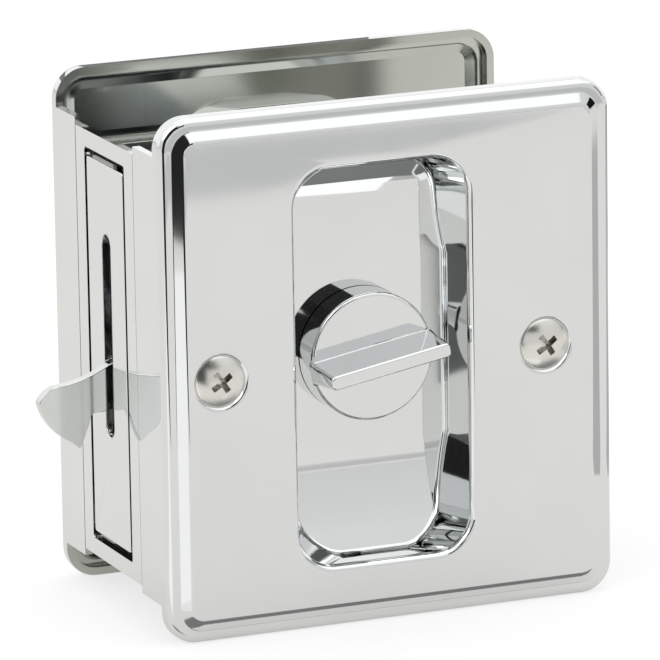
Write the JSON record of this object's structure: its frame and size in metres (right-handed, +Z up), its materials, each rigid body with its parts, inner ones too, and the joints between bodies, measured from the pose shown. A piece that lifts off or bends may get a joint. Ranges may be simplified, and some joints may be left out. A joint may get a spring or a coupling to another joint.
{
  "type": "pocket door pull",
  "caption": "Rectangular pocket door pull with finger cups on both faces, a thumb turn, a hook bolt through the door's edge and a sprung edge pull",
  "frame": {"origin": "on the axis of the thumb turn, in the middle of the door's thickness, at half the height of the plates", "axes": "+X runs from the door's edge into the door, so the hook points to -X; +Y runs through the door from the thumb turn's side to the back; +Z is up"},
  "size_m": [0.0735, 0.0439, 0.0698],
  "materials": {
    "polished_chrome": "polished chrome plate on pressed brass and die-cast zinc",
    "plated_steel": "bright plated stamped steel",
    "nickel_screw": "nickel plated",
    "zinc_steel": "zinc plated sheet steel",
    "spring_steel": "bright drawn spring steel"
  },
  "bodies": {
    "case": {"front_plate": "polished_chrome", "back_plate": "polished_chrome", "edge_channel": "polished_chrome", "case_front_plate": "zinc_steel", "case_rear_plate": "zinc_steel", "case_spacer_upper": "zinc_steel", "case_spacer_lower": "zinc_steel", "case_spacer_inner": "zinc_steel", "standoff_left": "zinc_steel", "standoff_right": "zinc_steel", "rear_post_left": "zinc_steel", "rear_post_right": "zinc_steel", "hook_pivot_pin": "zinc_steel", "edge_pull_pin": "zinc_steel", "screw_left": "nickel_screw", "screw_right": "nickel_screw"},
    "turn": {"thumb_turn": "polished_chrome", "spindle": "plated_steel", "coin_turn": "polished_chrome", "drive_sector": "plated_steel", "turn_clip_front": "spring_steel", "turn_clip_rear": "spring_steel", "spring_washer_front": "spring_steel", "spring_washer_rear": "spring_steel"},
    "bolt": {"hook": "plated_steel"},
    "pull": {"edge_pull": "polished_chrome", "edge_pull_spring": "spring_steel"}
  },
  "joints": [
    {"name": "turn_spin", "type": "hinge", "parent": "case", "child": "turn", "pos_m": [0, 0, 0], "axis": [0, -1, 0], "range_deg": [0, 80]},
    {"name": "hook_swing", "type": "hinge", "parent": "case", "child": "bolt", "pos_m": [-0.01729, 0.00065, -0.005], "axis": [0, -1, 0], "range_deg": [-80, 0]},
    {"name": "edge_pull_flip", "type": "hinge", "parent": "case", "child": "pull", "pos_m": [-0.02715, 0, -0.0205], "axis": [0, -1, 0], "range_deg": [0, 15], "stiffness_Nm_per_rad": 0.01, "springref_deg": -45.84}
  ],
  "couplings": [
    {"joint": "hook_swing", "follows": "turn_spin", "ratio": -1}
  ]
}
